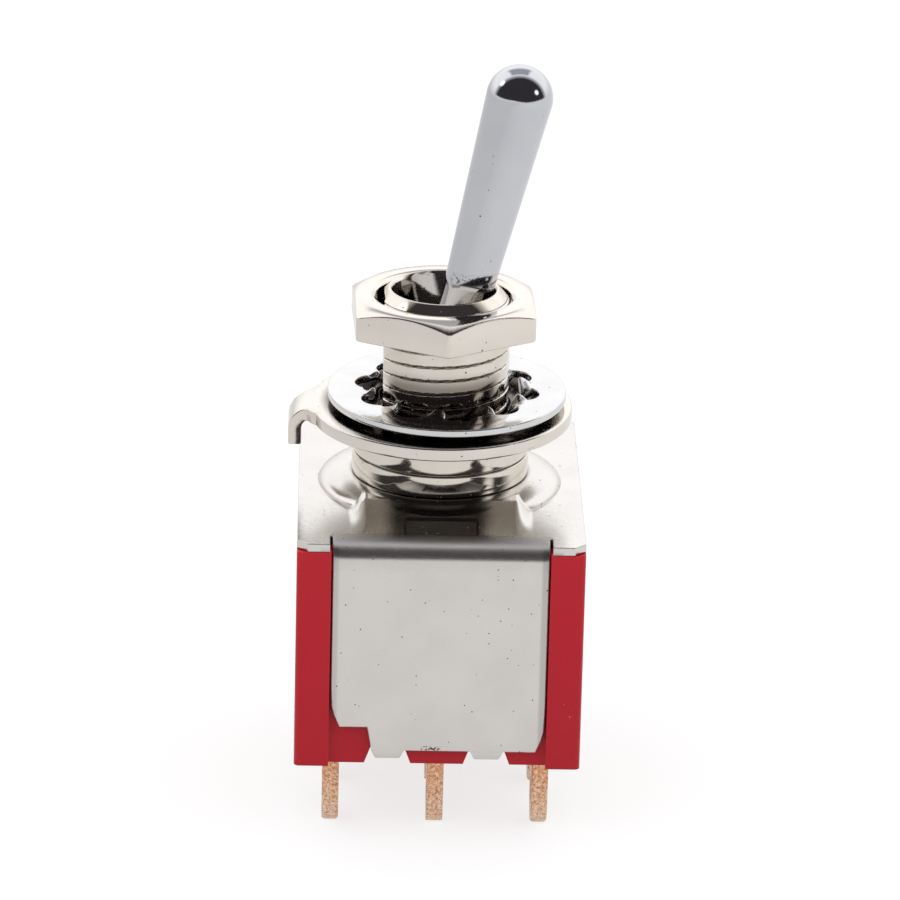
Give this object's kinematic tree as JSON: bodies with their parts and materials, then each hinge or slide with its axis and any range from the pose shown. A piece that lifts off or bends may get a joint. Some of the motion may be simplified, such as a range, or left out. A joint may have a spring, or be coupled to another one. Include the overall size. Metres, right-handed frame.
{
  "type": "toggle switch",
  "caption": "Panel-mount toggle switch with a tilting bat lever, threaded bushing, hex nut, lock washer, keyed ring, metal frame, moulded base and solder lugs.",
  "frame": {"origin": "on the bushing's axis, in the plane of the shoulder that a panel seats against", "axes": "+Z out along the bushing towards the lever, +X the side that the lever rests tilted to, -Y the front end with a folded flange"},
  "size_m": [0.0132, 0.0166, 0.034],
  "materials": {
    "housing": "moulded red phenolic, satin to glossy",
    "frame_metal": "bright nickel plate on folded steel sheet",
    "bushing_metal": "bright nickel plate on turned brass",
    "lever_metal": "polished chrome plate",
    "pin_metal": "plain ground steel",
    "nut_metal": "bright nickel plate",
    "washer_metal": "bright plated spring steel",
    "ring_metal": "bright plated stamped steel",
    "terminal_metal": "tin-washed copper alloy, coppery near the base",
    "carriage_plastic": "natural moulded plastic",
    "plunger_metal": "plain turned brass",
    "spring_metal": "drawn spring wire",
    "rocker_metal": "stamped contact brass, silver-plated"
  },
  "bodies": {
    "switch_body": {"base_housing": "housing", "mounting_frame": "frame_metal", "bushing": "bushing_metal", "lock_washer": "washer_metal", "locating_ring": "ring_metal", "left_terminal_front": "terminal_metal", "common_terminal_front": "terminal_metal", "right_terminal_front": "terminal_metal", "left_terminal_middle": "terminal_metal", "common_terminal_middle": "terminal_metal", "right_terminal_middle": "terminal_metal", "left_terminal_rear": "terminal_metal", "common_terminal_rear": "terminal_metal", "right_terminal_rear": "terminal_metal"},
    "lever": {"toggle_lever": "lever_metal", "lever_pin": "pin_metal"},
    "nut": {"hex_nut": "nut_metal"},
    "carriage": {"actuator_carriage": "carriage_plastic", "spring_front": "spring_metal", "spring_middle": "spring_metal", "spring_rear": "spring_metal"},
    "plunger_front": {"plunger_front": "plunger_metal"},
    "plunger_middle": {"plunger_middle": "plunger_metal"},
    "plunger_rear": {"plunger_rear": "plunger_metal"},
    "rocker_front": {"rocker_front": "rocker_metal"},
    "rocker_middle": {"rocker_middle": "rocker_metal"},
    "rocker_rear": {"rocker_rear": "rocker_metal"}
  },
  "joints": [
    {"name": "lever_tilt", "type": "hinge", "parent": "switch_body", "child": "lever", "pos_m": [0, 0, 0.0014], "axis": [0, 1, 0], "range_deg": [-26, 0]},
    {"name": "carriage_slide", "type": "slide", "parent": "switch_body", "child": "carriage", "axis": [1, 0, 0], "range_m": [0, 0.00279]},
    {"name": "nut_turn", "type": "hinge", "parent": "switch_body", "child": "nut", "pos_m": [0, 0, 0.0043], "axis": [0, 0, 1], "continuous": true},
    {"name": "plunger_front_press", "type": "slide", "parent": "carriage", "child": "plunger_front", "axis": [0, 0, 1], "range_m": [0, 0.0004], "stiffness_N_per_m": 300, "springref_m": -0.001, "deforming": ["spring_front"]},
    {"name": "plunger_middle_press", "type": "slide", "parent": "carriage", "child": "plunger_middle", "axis": [0, 0, 1], "range_m": [0, 0.0004], "stiffness_N_per_m": 300, "springref_m": -0.001, "deforming": ["spring_middle"]},
    {"name": "plunger_rear_press", "type": "slide", "parent": "carriage", "child": "plunger_rear", "axis": [0, 0, 1], "range_m": [0, 0.0004], "stiffness_N_per_m": 300, "springref_m": -0.001, "deforming": ["spring_rear"]},
    {"name": "rocker_front_tilt", "type": "hinge", "parent": "switch_body", "child": "rocker_front", "pos_m": [0, -0.0047, -0.00963], "axis": [0, 1, 0], "range_deg": [0, 16]},
    {"name": "rocker_middle_tilt", "type": "hinge", "parent": "switch_body", "child": "rocker_middle", "pos_m": [0, 0, -0.00963], "axis": [0, 1, 0], "range_deg": [0, 16]},
    {"name": "rocker_rear_tilt", "type": "hinge", "parent": "switch_body", "child": "rocker_rear", "pos_m": [0, 0.0047, -0.00963], "axis": [0, 1, 0], "range_deg": [0, 16]}
  ],
  "couplings": [
    {"joint": "lever_tilt", "follows": "carriage_slide", "rad_per_m": -162.68},
    {"joint": "rocker_front_tilt", "follows": "carriage_slide", "rad_per_m": 100.11},
    {"joint": "rocker_middle_tilt", "follows": "carriage_slide", "rad_per_m": 100.11},
    {"joint": "rocker_rear_tilt", "follows": "carriage_slide", "rad_per_m": 100.11}
  ]
}
